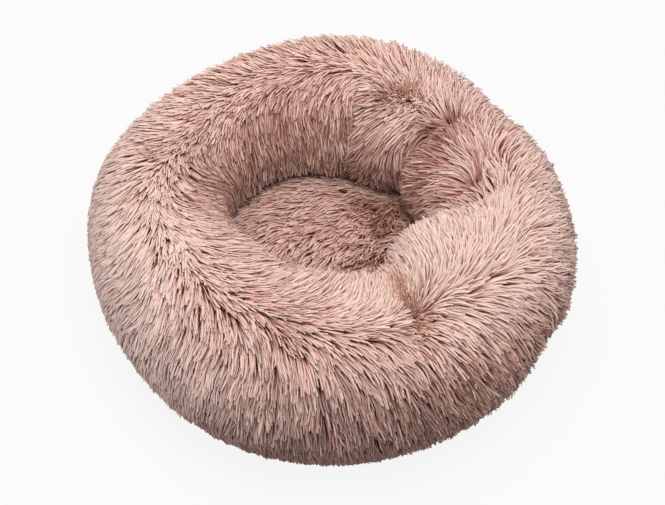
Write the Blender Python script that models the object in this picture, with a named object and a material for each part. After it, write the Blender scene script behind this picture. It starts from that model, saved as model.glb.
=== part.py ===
"""Donut pet bed: a stuffed long-pile ring round a crowned nest cushion, on a zipped non-slip base.

Metres, +Z up. The origin is the middle of the footprint on the floor, and the front faces -Y.
An azimuth is counted from +X towards +Y. A section angle is counted round the ring's own
cross-section: 0 faces out, 90 up and 180 in towards the nest.
"""

import math

import bmesh
import bpy
from mathutils import Matrix, Vector

# Ring, measured over the mean surface of the laid pile
BED_DIAMETER = 0.484
BED_HEIGHT = 0.170
CREST_RADIUS = 0.171
BELLY_HEIGHT = 0.080
NEST_MOUTH_RADIUS = 0.092
NEST_MOUTH_HEIGHT = 0.126
TUCK_RADIUS = 0.131
TUCK_HEIGHT = 0.054
CREASE_SECTION = 262.0

# Fur panels and what lies under them
PILE_DEPTH = 0.012
SOFT_GAP = 0.0005
FILL_GAP = 0.0018
SEAM_GAP = 0.0006
SKIRT_OVERLAP = 0.004

# Nest cushion
CUSHION_CROWN = 0.0235
CUSHION_RIM_HEIGHT = 0.0465
CUSHION_SIDE_DROP = 0.0225
CUSHION_DRAW_IN = 0.004
CUSHION_ROUNDNESS_SHARE = 0.77
CUSHION_HEM_SECTION = -80.0

# Base: quilted non-slip cloth with moulded grip dots
BASE_CLOTH = 0.004
DOT_RADIUS = 0.0030
DOT_HEIGHT = 0.0012
DOT_PITCH = 0.038
DOT_MARGIN = 0.008
DOT_ZIP_MARGIN = 0.004
CLEARANCE = 0.0003

# Zip
CHAIN_LENGTH = 0.220
TOOTH_PITCH = 0.004
TOOTH_LENGTH = 0.0025
TOOTH_HEAD = 0.0022
TOOTH_ROOT = 0.0014
TOOTH_HEIGHT = 0.0022
TAPE_WIDTH = 0.0115
TAPE_THICKNESS = 0.0006
TAPE_TAIL = 0.017
TAPE_EDGE_SHARE = 0.33
STOP_LENGTH = 0.003
STOP_EXTRA = 0.0008
SLIDER_LENGTH = 0.012
SLIDER_CORNER_SHARE = 0.33
PLATE_THICKNESS = 0.0010
FLANGE_THICKNESS = 0.0007
POST_WIDTH = 0.0008
POST_LENGTH = 0.0030
BAIL_THICKNESS = 0.0009
BAIL_WIDTH = 0.0012
BAIL_LENGTH = 0.0070
PULL_THICKNESS = 0.0010
PULL_WIDTH = 0.0062
PULL_LENGTH = 0.0240
PULL_RIM = 0.0012
PULL_EYE = 0.0052
PULL_TIP_SHARE = 0.45
PULL_HOLE_RADIUS = 0.0011
CUT_OVERRUN = 0.001

# Counts
RING_STEPS = 52
BASE_STEPS = 64
DOT_SIDES = 6
ROUND_STEPS = 6

# Where the ring as a whole leans out or in: azimuth, its spread, share of the crest radius
SWAY_SHARES = (
    (165.0, 24.0, 0.050),
    (-142.0, 26.0, -0.042),
    (-12.0, 20.0, 0.025),
)

# Lobes (+) and folds (-) of the stuffed ring: azimuth and its spread, section angle and its
# spread, how far the azimuth turns over a quarter of the section, and the share of the distance
# from the middle of the ring's cross-section
SWELL_SHARES = (
    (85.0, 26.0, 35.0, 60.0, 0.0, 0.10),
    (38.0, 12.0, 20.0, 60.0, 0.0, -0.11),
    (43.0, 8.0, 150.0, 62.0, 8.0, -0.22),
    (14.0, 13.0, 140.0, 42.0, 0.0, -0.16),
    (-5.0, 8.0, 125.0, 46.0, -14.0, -0.20),
    (-31.0, 15.0, 125.0, 50.0, 0.0, 0.16),
    (-61.0, 9.0, 105.0, 35.0, 0.0, -0.10),
    (57.0, 9.0, 100.0, 35.0, 0.0, -0.04),
    (158.0, 10.0, 100.0, 35.0, 0.0, -0.06),
    (-28.0, 8.0, -25.0, 28.0, 0.0, -0.10),
    (-98.0, 24.0, 150.0, 50.0, 0.0, 0.08),
    (122.0, 50.0, 160.0, 42.0, 0.0, -0.27),
)
# The lobes fade out towards the floor and towards the middle of the nest
GROUND_FADE = 0.030
NEST_FADE_START = 0.045
NEST_FADE_END = 0.085

# Points along each profile, and how its shapes are sampled, merged and shaded
OUTER_POINT_COUNT = 9
INNER_POINT_COUNT = 8
CROWN_POINT_COUNT = 6
SIDE_POINT_COUNT = 2
PROBE_ANGLE = 0.36
MERGE_SHARE = 0.01
SMOOTH_ANGLE = 40.0

PILE_COLOUR = (0.60, 0.38, 0.32, 1.0)
FILL_COLOUR = (0.86, 0.85, 0.82, 1.0)
BASE_COLOUR = (0.23, 0.19, 0.18, 1.0)
TAPE_COLOUR = (0.30, 0.22, 0.20, 1.0)
METAL_COLOUR = (0.62, 0.60, 0.58, 1.0)

# Derived sizes
OUTER_RADIUS = BED_DIAMETER / 2
BASE_BOTTOM = DOT_HEIGHT
BASE_TOP = BASE_BOTTOM + BASE_CLOTH
SEAT = BASE_TOP + CLEARANCE
TAPE_BOTTOM = SEAT
TAPE_TOP = TAPE_BOTTOM + TAPE_THICKNESS
CHAIN_MIDDLE = (TAPE_BOTTOM + TAPE_TOP) / 2
CHAIN_BOTTOM = CHAIN_MIDDLE - TOOTH_HEIGHT / 2
CHAIN_TOP = CHAIN_MIDDLE + TOOTH_HEIGHT / 2
ROW_INNER = POST_WIDTH / 2 + CLEARANCE
ROW_OUTER = ROW_INNER + TOOTH_LENGTH
TAPE_EDGE = ROW_INNER + TOOTH_LENGTH * TAPE_EDGE_SHARE
CHANNEL_HALF = ROW_OUTER + CLEARANCE
SLIDER_HALF = CHANNEL_HALF + FLANGE_THICKNESS
SLIDER_CORNER = SLIDER_HALF * SLIDER_CORNER_SHARE
ZIP_SLOT_HALF = SLIDER_HALF + CLEARANCE
PLATE_TOP = CHAIN_BOTTOM - CLEARANCE
PLATE_BOTTOM = PLATE_TOP - PLATE_THICKNESS
ROOF_BOTTOM = CHAIN_TOP + CLEARANCE
ROOF_TOP = ROOF_BOTTOM + PLATE_THICKNESS
CROSSBAR_REACH = PULL_THICKNESS * math.sqrt(2) / 2
HINGE_HEIGHT = PLATE_BOTTOM - CLEARANCE - CROSSBAR_REACH
BAIL_INNER = HINGE_HEIGHT - CROSSBAR_REACH - CLEARANCE
BAIL_BOTTOM = BAIL_INNER - BAIL_THICKNESS
SLIDER_REST = CHAIN_LENGTH / 2 - SLIDER_LENGTH / 2
STOP_START = CHAIN_LENGTH / 2 + CLEARANCE
TAPE_HALF_LENGTH = CHAIN_LENGTH / 2 + TAPE_TAIL
ZIP_SLOT_HALF_LENGTH = SLIDER_REST + PULL_LENGTH + PULL_THICKNESS


def clear_scene():
    for obj in list(bpy.data.objects):
        bpy.data.objects.remove(obj, do_unlink=True)
    for old in list(bpy.data.collections):
        bpy.data.collections.remove(old)


def new_collection(name):
    made = bpy.data.collections.new(name)
    bpy.context.scene.collection.children.link(made)
    return made


def new_material(name, colour, roughness, metallic=0.0):
    made = bpy.data.materials.new(name)
    made.use_nodes = True
    shader = made.node_tree.nodes["Principled BSDF"]
    shader.inputs["Base Color"].default_value = colour
    shader.inputs["Roughness"].default_value = roughness
    shader.inputs["Metallic"].default_value = metallic
    made.diffuse_color = colour
    return made


def add_object(name, bm, group, material, smooth=True):
    bmesh.ops.recalc_face_normals(bm, faces=bm.faces)
    if bm.calc_volume(signed=True) < 0.0:
        bmesh.ops.reverse_faces(bm, faces=bm.faces)
    mesh = bpy.data.meshes.new(name)
    bm.to_mesh(mesh)
    bm.free()
    if smooth:
        mesh.shade_smooth()
        mesh.set_sharp_from_angle(angle=math.radians(SMOOTH_ANGLE))
    made = bpy.data.objects.new(name, mesh)
    mesh.materials.append(material)
    group.objects.link(made)
    return made


def cut(obj, cutter, operation="DIFFERENCE", solver="EXACT"):
    step = obj.modifiers.new(operation.lower(), "BOOLEAN")
    step.operation = operation
    step.solver = solver
    step.object = cutter
    cutter.hide_render = True
    cutter.display_type = "WIRE"


def add_box(bm, low, high):
    size = Vector(high) - Vector(low)
    middle = (Vector(high) + Vector(low)) / 2
    place = Matrix.Translation(middle) @ Matrix.Diagonal((*size, 1.0))
    return bmesh.ops.create_cube(bm, size=1.0, matrix=place)["verts"]


def section_point(angle):
    """Radius and height of the pile's surface on the ring's section, before its lobes."""
    across, up = math.cos(math.radians(angle)), math.sin(math.radians(angle))
    if angle <= 90.0:
        rise = BED_HEIGHT - BELLY_HEIGHT if angle > 0.0 else BELLY_HEIGHT
        return CREST_RADIUS + (OUTER_RADIUS - CREST_RADIUS) * across, BELLY_HEIGHT + rise * up
    if angle <= 180.0:
        reach, rise = CREST_RADIUS - NEST_MOUTH_RADIUS, BED_HEIGHT - NEST_MOUTH_HEIGHT
        return CREST_RADIUS + reach * across, NEST_MOUTH_HEIGHT + rise * up
    reach, drop = TUCK_RADIUS - NEST_MOUTH_RADIUS, NEST_MOUTH_HEIGHT - TUCK_HEIGHT
    return TUCK_RADIUS + reach * across, NEST_MOUTH_HEIGHT + drop * up


def cushion_point(angle):
    """Radius and height of the cushion's pile: 90 is its crown, 0 its rim and -90 its lower edge."""
    across, up = math.cos(math.radians(angle)), math.sin(math.radians(angle))
    if angle >= 0.0:
        out = CUSHION_RADIUS * max(across, 0.0) ** CUSHION_ROUNDNESS_SHARE
        return out, CUSHION_RIM_HEIGHT + CUSHION_CROWN * max(up, 0.0) ** CUSHION_ROUNDNESS_SHARE
    return (
        CUSHION_RADIUS - CUSHION_DRAW_IN * (1 - across),
        CUSHION_RIM_HEIGHT + CUSHION_SIDE_DROP * up,
    )


def inset_point(curve, angle, depth):
    """A point of the curve moved into the stuffing, which lies on its left."""
    before, after = Vector(curve(angle - PROBE_ANGLE)), Vector(curve(angle + PROBE_ANGLE))
    along = (after - before).normalized()
    return Vector(curve(angle)) + Vector((-along.y, along.x)) * depth


def spread(first, last, count):
    return [first + (last - first) * i / (count - 1) for i in range(count)]


def foot_section():
    """The section angle at which the outer wall comes down on the base."""
    return -math.degrees(math.asin((BELLY_HEIGHT - SEAT) / BELLY_HEIGHT))


CUSHION_RADIUS = section_point(CREASE_SECTION)[0] - SOFT_GAP
BASE_RADIUS = section_point(foot_section())[0] + SKIRT_OVERLAP


def seam_turn():
    """Half of the crest seam's gap, as a turn of the section angle."""
    return math.degrees(SEAM_GAP / 2 / (OUTER_RADIUS - CREST_RADIUS))


def ring_line(first, last, count, depth):
    return [inset_point(section_point, a, depth) for a in spread(first, last, count)]


def cushion_line(depth):
    """From the crown to the lower edge, with the first point on the axis."""
    top = spread(90.0, 0.0, CROWN_POINT_COUNT)
    side = spread(0.0, -90.0, SIDE_POINT_COUNT + 1)[1:]
    line = [inset_point(cushion_point, a, depth) for a in top[1:] + side[:-1]]
    crown = Vector((0.0, CUSHION_RIM_HEIGHT + CUSHION_CROWN - depth))
    edge = inset_point(cushion_point, CUSHION_HEM_SECTION, depth)
    lower = Vector((edge.x, CUSHION_RIM_HEIGHT - CUSHION_SIDE_DROP))
    return [crown, *line, lower]


def bell(offset, width):
    return math.exp(-((offset / width) ** 2))


def turn_between(angle, centre):
    return (angle - centre + 180.0) % 360.0 - 180.0


def ramp(value, low, high):
    share = min(max((value - low) / (high - low), 0.0), 1.0)
    return share * share * (3 - 2 * share)


def lobed(point):
    """The place of a point of the plain turned bed once the ring has its lobes and folds."""
    radius = math.hypot(point.x, point.y)
    fade = ramp(point.z, SEAT, SEAT + GROUND_FADE)
    fade *= ramp(radius, NEST_FADE_START, NEST_FADE_END)
    if fade == 0.0:
        return point.copy()
    azimuth = math.degrees(math.atan2(point.y, point.x))
    section = math.degrees(math.atan2(point.z - BELLY_HEIGHT, radius - CREST_RADIUS))
    swell = 0.0
    for middle, wide, level, deep, slant, share in SWELL_SHARES:
        rise = turn_between(section, level)
        aside = turn_between(azimuth, middle + slant * rise / 90.0)
        swell += share * bell(aside, wide) * bell(rise, deep)
    sway = sum(share * bell(turn_between(azimuth, a), wide) for a, wide, share in SWAY_SHARES)
    out = radius + fade * ((radius - CREST_RADIUS) * swell + CREST_RADIUS * sway)
    up = point.z + fade * (point.z - BELLY_HEIGHT) * swell
    return Vector((point.x * out / radius, point.y * out / radius, up))


def turned(profile):
    """A bmesh of the profile spun about Z and given the ring's lobes; an end off the axis is closed."""
    bm = bmesh.new()
    verts = [bm.verts.new((p.x, 0.0, p.y)) for p in profile]
    edges = [bm.edges.new(pair) for pair in zip(verts, verts[1:])]
    if profile[0].x > 0.0 or profile[-1].x > 0.0:
        edges.append(bm.edges.new((verts[-1], verts[0])))
    bmesh.ops.spin(
        bm, geom=verts + edges, cent=(0, 0, 0), axis=(0, 0, 1), angle=math.tau,
        steps=RING_STEPS, use_merge=True, use_duplicate=False,
    )
    bmesh.ops.remove_doubles(bm, verts=bm.verts, dist=CLEARANCE * MERGE_SHARE)
    for vert in bm.verts:
        vert.co = lobed(vert.co)
    return bm


def outer_wall_panel(group, pile):
    """Fur cloth from the crest seam over the belly and down to the base."""
    first, last = 90.0 - seam_turn(), foot_section()
    skin = ring_line(first, last, OUTER_POINT_COUNT, 0.0)
    back = ring_line(first, last, OUTER_POINT_COUNT, PILE_DEPTH)
    return add_object("outer_wall_panel", turned(skin + back[::-1]), group, pile)


def inner_wall_panel(group, pile):
    """Fur cloth from the crest seam down the nest's wall to the crease."""
    first, last = 90.0 + seam_turn(), CREASE_SECTION
    skin = ring_line(first, last, INNER_POINT_COUNT, 0.0)
    back = ring_line(first, last, INNER_POINT_COUNT, PILE_DEPTH)
    return add_object("inner_wall_panel", turned(skin + back[::-1]), group, pile)


def cut_zip_groove(obj, fill, tools):
    """Room in the stuffing for the zip's tapes, chain and slider."""
    bm = bmesh.new()
    half_x, half_y = TAPE_HALF_LENGTH + CLEARANCE, TAPE_EDGE + TAPE_WIDTH + CLEARANCE
    add_box(bm, (-half_x, -half_y, SEAT - CUT_OVERRUN), (half_x, half_y, ROOF_TOP + CLEARANCE))
    cutter = add_object(f"{obj.name}_groove_cutter", bm, tools, fill, smooth=False)
    cut(obj, cutter, solver="MANIFOLD")


def bolster_fill(group, fill, tools):
    """The fibre ring that stuffs the wall, flat where it sits on the base."""
    depth = PILE_DEPTH + FILL_GAP
    outer = ring_line(90.0, foot_section(), OUTER_POINT_COUNT, depth)
    inner = ring_line(90.0, CREASE_SECTION, INNER_POINT_COUNT, depth)[1:]
    side = max(CUSHION_RADIUS + FILL_GAP, inner[-1].x)
    heights = (SEAT, CUSHION_RIM_HEIGHT - CUSHION_SIDE_DROP, CUSHION_RIM_HEIGHT, inner[-1].y)
    foot = Vector((outer[-1].x - FILL_GAP, SEAT))
    floor = [foot] + [Vector((side, z)) for z in heights]
    made = add_object("bolster_fill", turned(outer + floor + inner[:-1][::-1]), group, fill)
    cut_zip_groove(made, fill, tools)
    return made


def cushion_top_panel(group, pile):
    """Fur cloth over the nest cushion, drawn in under its rim."""
    skin, back = cushion_line(0.0), cushion_line(PILE_DEPTH)
    return add_object("cushion_top_panel", turned(skin + back[::-1]), group, pile)


def cushion_fill(group, fill, tools):
    """The crowned pad in the nest, grooved over the zip."""
    line = cushion_line(PILE_DEPTH + FILL_GAP)
    profile = line[:-1] + [Vector((line[-1].x, SEAT)), Vector((0.0, SEAT))]
    made = add_object("cushion_fill", turned(profile), group, fill)
    cut_zip_groove(made, fill, tools)
    return made


def dot_places(side):
    """Centres of the grip dots on one half of the base, in a staggered grid."""
    reach = BASE_RADIUS - DOT_MARGIN - DOT_RADIUS
    row_gap = DOT_PITCH * math.sqrt(3) / 2
    first_row = ZIP_SLOT_HALF + DOT_ZIP_MARGIN + DOT_RADIUS
    places = []
    for row in range(int((reach - first_row) / row_gap) + 1):
        y = first_row + row * row_gap
        half = math.sqrt(reach**2 - y**2)
        shift = (row % 2) * DOT_PITCH / 2
        steps = int((half + DOT_PITCH) / DOT_PITCH)
        across = [k * DOT_PITCH + shift for k in range(-steps, steps + 1)]
        places += [(x, side * y) for x in across if abs(x) <= half]
    return places


def base_panel(name, side, group, cloth, tools):
    """Half of the round base: its straight edge is notched where the zip runs."""
    bm = bmesh.new()
    middle = Matrix.Translation((0, 0, (BASE_BOTTOM + BASE_TOP) / 2))
    bmesh.ops.create_cone(
        bm, cap_ends=True, segments=BASE_STEPS, radius1=BASE_RADIUS, radius2=BASE_RADIUS,
        depth=BASE_CLOTH, matrix=middle,
    )
    near = bmesh.ops.bisect_plane(
        bm, geom=bm.verts[:] + bm.edges[:] + bm.faces[:], plane_co=(0, side * SEAM_GAP / 2, 0),
        plane_no=(0, -side, 0), clear_outer=True,
    )
    rim = [e for e in near["geom_cut"] if isinstance(e, bmesh.types.BMEdge)]
    bmesh.ops.contextual_create(bm, geom=rim)
    made = add_object(name, bm, group, cloth, smooth=False)

    slot = bmesh.new()
    half_x, half_y = ZIP_SLOT_HALF_LENGTH, ZIP_SLOT_HALF
    low = BASE_BOTTOM - CUT_OVERRUN
    add_box(slot, (-half_x, -half_y, low), (half_x, half_y, BASE_TOP + CUT_OVERRUN))
    cut(made, add_object(f"{name}_slot_cutter", slot, tools, cloth, smooth=False))

    dots = bmesh.new()
    depth = DOT_HEIGHT + BASE_CLOTH / 2
    for x, y in dot_places(side):
        bmesh.ops.create_cone(
            dots, cap_ends=True, segments=DOT_SIDES, radius1=DOT_RADIUS, radius2=DOT_RADIUS,
            depth=depth, matrix=Matrix.Translation((x, y, depth / 2)),
        )
    cut(made, add_object(f"{name}_dots", dots, tools, cloth, smooth=False), "UNION")
    return made


def zip_tape(name, side, group, cloth, tools):
    """One woven tape with its row of moulded teeth; the rows are staggered half a pitch."""
    bm = bmesh.new()
    edges = sorted((side * TAPE_EDGE, side * (TAPE_EDGE + TAPE_WIDTH)))
    add_box(
        bm, (-TAPE_HALF_LENGTH, edges[0], TAPE_BOTTOM), (TAPE_HALF_LENGTH, edges[1], TAPE_TOP)
    )
    made = add_object(name, bm, group, cloth, smooth=False)

    teeth = bmesh.new()
    stagger = TOOTH_PITCH * (2 - side) / 4
    for i in range(int(CHAIN_LENGTH / TOOTH_PITCH)):
        x = -CHAIN_LENGTH / 2 + stagger + i * TOOTH_PITCH
        rows = sorted((side * ROW_INNER, side * ROW_OUTER))
        verts = add_box(
            teeth, (x - TOOTH_HEAD / 2, rows[0], CHAIN_BOTTOM), (x + TOOTH_HEAD / 2, rows[1], CHAIN_TOP)
        )
        for vert in verts:
            if abs(vert.co.y) > TAPE_EDGE:
                vert.co.x = x + (vert.co.x - x) * TOOTH_ROOT / TOOTH_HEAD
    cut(made, add_object(f"{name}_teeth", teeth, tools, cloth, smooth=False), "UNION")
    return made


def top_stop(name, side, group, metal):
    """A clip crimped on the edge of one tape, past the last tooth."""
    gap = CLEARANCE
    low, high = CHAIN_BOTTOM - STOP_EXTRA / 2, CHAIN_TOP + STOP_EXTRA / 2
    outline = [
        (ROW_INNER, low), (ROW_OUTER, low), (ROW_OUTER, TAPE_BOTTOM - gap),
        (TAPE_EDGE - gap, TAPE_BOTTOM - gap), (TAPE_EDGE - gap, TAPE_TOP + gap),
        (ROW_OUTER, TAPE_TOP + gap), (ROW_OUTER, high), (ROW_INNER, high),
    ]
    bm = bmesh.new()
    face = bm.faces.new([bm.verts.new((STOP_START, side * y, z)) for y, z in outline])
    grown = bmesh.ops.extrude_face_region(bm, geom=[face])["geom"]
    moved = [v for v in grown if isinstance(v, bmesh.types.BMVert)]
    bmesh.ops.translate(bm, verts=moved, vec=(STOP_LENGTH, 0, 0))
    return add_object(name, bm, group, metal, smooth=False)


def bottom_stop(group, metal):
    """The clip that bridges both tapes at the end where the zip opens."""
    gap = CLEARANCE
    low, high = CHAIN_BOTTOM - STOP_EXTRA / 2, CHAIN_TOP + STOP_EXTRA / 2
    right = [
        (ROW_OUTER, low), (ROW_OUTER, TAPE_BOTTOM - gap), (TAPE_EDGE - gap, TAPE_BOTTOM - gap),
        (TAPE_EDGE - gap, TAPE_TOP + gap), (ROW_OUTER, TAPE_TOP + gap), (ROW_OUTER, high),
    ]
    outline = right + [(-y, z) for y, z in reversed(right)]
    bm = bmesh.new()
    face = bm.faces.new([bm.verts.new((-STOP_START, y, z)) for y, z in outline])
    grown = bmesh.ops.extrude_face_region(bm, geom=[face])["geom"]
    moved = [v for v in grown if isinstance(v, bmesh.types.BMVert)]
    bmesh.ops.translate(bm, verts=moved, vec=(-STOP_LENGTH, 0, 0))
    return add_object("zip_bottom_stop", bm, group, metal, smooth=False)


def slider_plate(bm, low, high):
    """A plate that narrows towards the joined teeth, with softened corners."""
    verts = add_box(
        bm, (SLIDER_REST - SLIDER_LENGTH / 2, -SLIDER_HALF, low),
        (SLIDER_REST + SLIDER_LENGTH / 2, SLIDER_HALF, high),
    )
    uprights = [
        e for e in bm.edges
        if e.verts[0] in verts and abs(e.verts[0].co.z - e.verts[1].co.z) > PLATE_THICKNESS / 2
    ]
    bmesh.ops.bevel(
        bm, geom=uprights, offset=SLIDER_CORNER, offset_type="OFFSET", affect="EDGES",
        segments=2, profile=0.5, material=-1,
    )


def zip_slider(group, metal, tools):
    """Two plates round the chain, joined by the post between the rows, with side flanges and a bail."""
    bm = bmesh.new()
    slider_plate(bm, PLATE_BOTTOM, PLATE_TOP)
    made = add_object("zip_slider", bm, group, metal)

    roof = bmesh.new()
    slider_plate(roof, ROOF_BOTTOM, ROOF_TOP)
    cut(made, add_object("slider_roof", roof, tools, metal), "UNION")

    rest = bmesh.new()
    sink = PLATE_THICKNESS / 2
    front = SLIDER_REST + SLIDER_LENGTH / 2 - FLANGE_THICKNESS
    add_box(
        rest, (front - POST_LENGTH, -POST_WIDTH / 2, PLATE_BOTTOM + sink),
        (front, POST_WIDTH / 2, ROOF_BOTTOM + sink),
    )
    half = SLIDER_LENGTH / 2 - SLIDER_CORNER
    for side in (-1, 1):
        walls = sorted((side * CHANNEL_HALF, side * SLIDER_HALF))
        for low, high in (
            (PLATE_TOP - sink, TAPE_BOTTOM - CLEARANCE), (TAPE_TOP + CLEARANCE, ROOF_BOTTOM + sink)
        ):
            add_box(rest, (SLIDER_REST - half, walls[0], low), (SLIDER_REST + half, walls[1], high))
    cut(made, add_object("slider_flanges", rest, tools, metal), "UNION")

    bail = bmesh.new()
    half = BAIL_LENGTH / 2
    add_box(
        bail, (SLIDER_REST - half, -BAIL_WIDTH / 2, BAIL_BOTTOM),
        (SLIDER_REST + half, BAIL_WIDTH / 2, BAIL_INNER),
    )
    cut(made, add_object("slider_bail", bail, tools, metal), "UNION")
    legs = bmesh.new()
    for x in (SLIDER_REST - half, SLIDER_REST + half - BAIL_THICKNESS):
        add_box(
            legs, (x, -BAIL_WIDTH / 2, BAIL_BOTTOM + BAIL_THICKNESS / 2),
            (x + BAIL_THICKNESS, BAIL_WIDTH / 2, PLATE_BOTTOM + sink),
        )
    cut(made, add_object("slider_bail_legs", legs, tools, metal), "UNION")
    return made


def zip_pull(group, metal, tools):
    """The pull tab, lying back along the closed chain, with its eye round the bail."""
    low, high = HINGE_HEIGHT - PULL_THICKNESS / 2, HINGE_HEIGHT + PULL_THICKNESS / 2
    front = SLIDER_REST + PULL_THICKNESS / 2
    bm = bmesh.new()
    verts = add_box(bm, (front - PULL_LENGTH, -PULL_WIDTH / 2, low), (front, PULL_WIDTH / 2, high))
    corners = [
        e for e in bm.edges
        if all(v in verts for v in e.verts)
        and abs(e.verts[0].co.z - e.verts[1].co.z) > PULL_THICKNESS / 2
        and e.verts[0].co.x < SLIDER_REST - PULL_EYE
    ]
    bmesh.ops.bevel(
        bm, geom=corners, offset=PULL_WIDTH * PULL_TIP_SHARE, offset_type="OFFSET", affect="EDGES",
        segments=4, profile=0.5, material=-1,
    )
    made = add_object("zip_pull", bm, group, metal)

    eye = bmesh.new()
    half = PULL_WIDTH / 2 - PULL_RIM
    back = front - PULL_THICKNESS
    add_box(
        eye, (back - PULL_EYE, -half, low - CUT_OVERRUN), (back, half, high + CUT_OVERRUN)
    )
    cut(made, add_object("pull_eye_cutter", eye, tools, metal))

    hole = bmesh.new()
    tip = Matrix.Translation((front - PULL_LENGTH + PULL_WIDTH / 2, 0, HINGE_HEIGHT))
    bmesh.ops.create_cone(
        hole, cap_ends=True, segments=2 * ROUND_STEPS, radius1=PULL_HOLE_RADIUS,
        radius2=PULL_HOLE_RADIUS, depth=PULL_THICKNESS + 2 * CUT_OVERRUN, matrix=tip,
    )
    cut(made, add_object("pull_hole_cutter", hole, tools, metal))
    return made


def main():
    clear_scene()
    bed = new_collection("donut_pet_bed")
    tools = new_collection("donut_pet_bed_cutters")
    pile = new_material("long_pile_fur", PILE_COLOUR, roughness=0.85)
    fill = new_material("fibre_fill", FILL_COLOUR, roughness=0.95)
    cloth = new_material("non_slip_cloth", BASE_COLOUR, roughness=0.80)
    tape = new_material("zip_tape", TAPE_COLOUR, roughness=0.75)
    metal = new_material("zip_metal", METAL_COLOUR, roughness=0.35, metallic=1.0)

    outer_wall_panel(bed, pile)
    inner_wall_panel(bed, pile)
    bolster_fill(bed, fill, tools)
    cushion_top_panel(bed, pile)
    cushion_fill(bed, fill, tools)
    base_panel("base_panel_front", -1, bed, cloth, tools)
    base_panel("base_panel_rear", 1, bed, cloth, tools)
    zip_tape("zip_tape_front", -1, bed, tape, tools)
    zip_tape("zip_tape_rear", 1, bed, tape, tools)
    top_stop("zip_top_stop_front", -1, bed, metal)
    top_stop("zip_top_stop_rear", 1, bed, metal)
    bottom_stop(bed, metal)
    zip_slider(bed, metal, tools)
    zip_pull(bed, metal, tools)


main()
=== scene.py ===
"""Donut pet bed: combed long fur over a stuffed ring and a nest cushion, on a zipped non-slip base.

Metres, +Z up, front towards -Y. An azimuth is counted from +X towards +Y. A section angle is
counted round the ring's own cross-section: 0 faces out, 90 up and 180 in towards the nest.
"""

import math

import bmesh
import bpy
import numpy as np
from mathutils import Matrix, Vector
from mathutils.kdtree import KDTree


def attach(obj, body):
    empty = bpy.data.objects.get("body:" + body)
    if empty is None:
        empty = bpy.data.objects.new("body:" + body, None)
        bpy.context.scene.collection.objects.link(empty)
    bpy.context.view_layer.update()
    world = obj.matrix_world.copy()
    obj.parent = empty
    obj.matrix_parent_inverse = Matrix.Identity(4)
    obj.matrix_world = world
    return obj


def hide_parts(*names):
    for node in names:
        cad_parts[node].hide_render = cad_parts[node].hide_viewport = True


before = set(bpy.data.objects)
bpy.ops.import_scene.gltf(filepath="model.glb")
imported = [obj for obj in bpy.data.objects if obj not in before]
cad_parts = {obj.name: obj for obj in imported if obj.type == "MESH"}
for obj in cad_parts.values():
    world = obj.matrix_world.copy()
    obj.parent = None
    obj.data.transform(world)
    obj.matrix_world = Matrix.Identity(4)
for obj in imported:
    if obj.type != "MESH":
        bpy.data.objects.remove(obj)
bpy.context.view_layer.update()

# The ring's form, as the frame has it
OUTER_RADIUS = 0.242
BED_HEIGHT = 0.170
CREST_RADIUS = 0.171
BELLY_HEIGHT = 0.080
NEST_MOUTH_RADIUS = 0.092
NEST_MOUTH_HEIGHT = 0.126
TUCK_RADIUS = 0.131
TUCK_HEIGHT = 0.054
CREASE_SECTION = 262.0
SEAT = 0.0055
GROUND_FADE = 0.030
NEST_FADE_START = 0.045
NEST_FADE_END = 0.085

# Azimuth, its spread, share of the crest radius
SWAY_SHARES = (
    (165, 24, 0.050),
    (-142, 26, -0.042),
    (-12, 20, 0.025),
)
# Azimuth, spread, section, spread, turn of the azimuth over a quarter section, share
SWELL_SHARES = (
    (85, 26, 35, 60, 0, 0.10),
    (38, 12, 20, 60, 0, -0.11),
    (43, 8, 150, 62, 8, -0.22),
    (14, 13, 140, 42, 0, -0.16),
    (-5, 8, 125, 46, -14, -0.20),
    (-31, 15, 125, 50, 0, 0.16),
    (-61, 9, 105, 35, 0, -0.10),
    (57, 9, 100, 35, 0, -0.04),
    (158, 10, 100, 35, 0, -0.06),
    (-28, 8, -25, 28, 0, -0.10),
    (-98, 24, 150, 50, 0, 0.08),
    (122, 50, 160, 42, 0, -0.27),
)

# The nest cushion's form
CUSHION_RADIUS = 0.1251
CUSHION_CROWN = 0.0235
CUSHION_RIM_HEIGHT = 0.0465
CUSHION_ROUNDNESS_SHARE = 0.77

# Fur: where it is rooted, how long it is and how it lies
ROOT_DEPTH = 0.0075
LOCK_LENGTH = 0.036
LOCK_HALF_WIDTH = 0.00117
LOCK_THICKNESS_SHARE = 0.44
TIP_RISE = 0.0060
TIP_RISE_SPREAD = 0.0022
HIGHEST_TIP = 0.0105
LENGTH_RANGE = (0.72, 1.12)
WIDTH_RANGE = (0.65, 1.25)
FINE_LOCK_SHARE = 0.12
FOLD_DIP = 0.007
LOBE_EDGE_RISE = 0.0035
CUSHION_TIP_RISE = 0.004
CUSHION_HIGHEST_TIP = 0.009
CUSHION_LENGTH_RANGE = (0.7, 1.15)
HOLLOW_DIP = 0.004
TUFT_LOCKS = 7
TUFT_PULL = (0.1, 0.72)
RING_ROLL = 0.5
CUSHION_ROLL = 0.6
FLOOR_CLEARANCE = 0.0008
SKIRT_SECTION = -56.0
LOWEST_ROOT_SECTION = -64.0
HIGHEST_ROOT_SECTION = 240.0
LOWEST_TIP_SECTION = 250.0
NEST_TUCK_SECTION = 209.0
NEST_TIP_SECTION = 222.0
# A lock's width at each level, and its stride to the next as a share of its length
LEVELS = 5
LEVEL_WIDTHS = (0.60, 0.85, 0.95, 1.00, 0.82, 0.0)
LEVEL_STRIDES = (0.081, 0.198, 0.261, 0.270, 0.045, 0.0)

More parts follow.
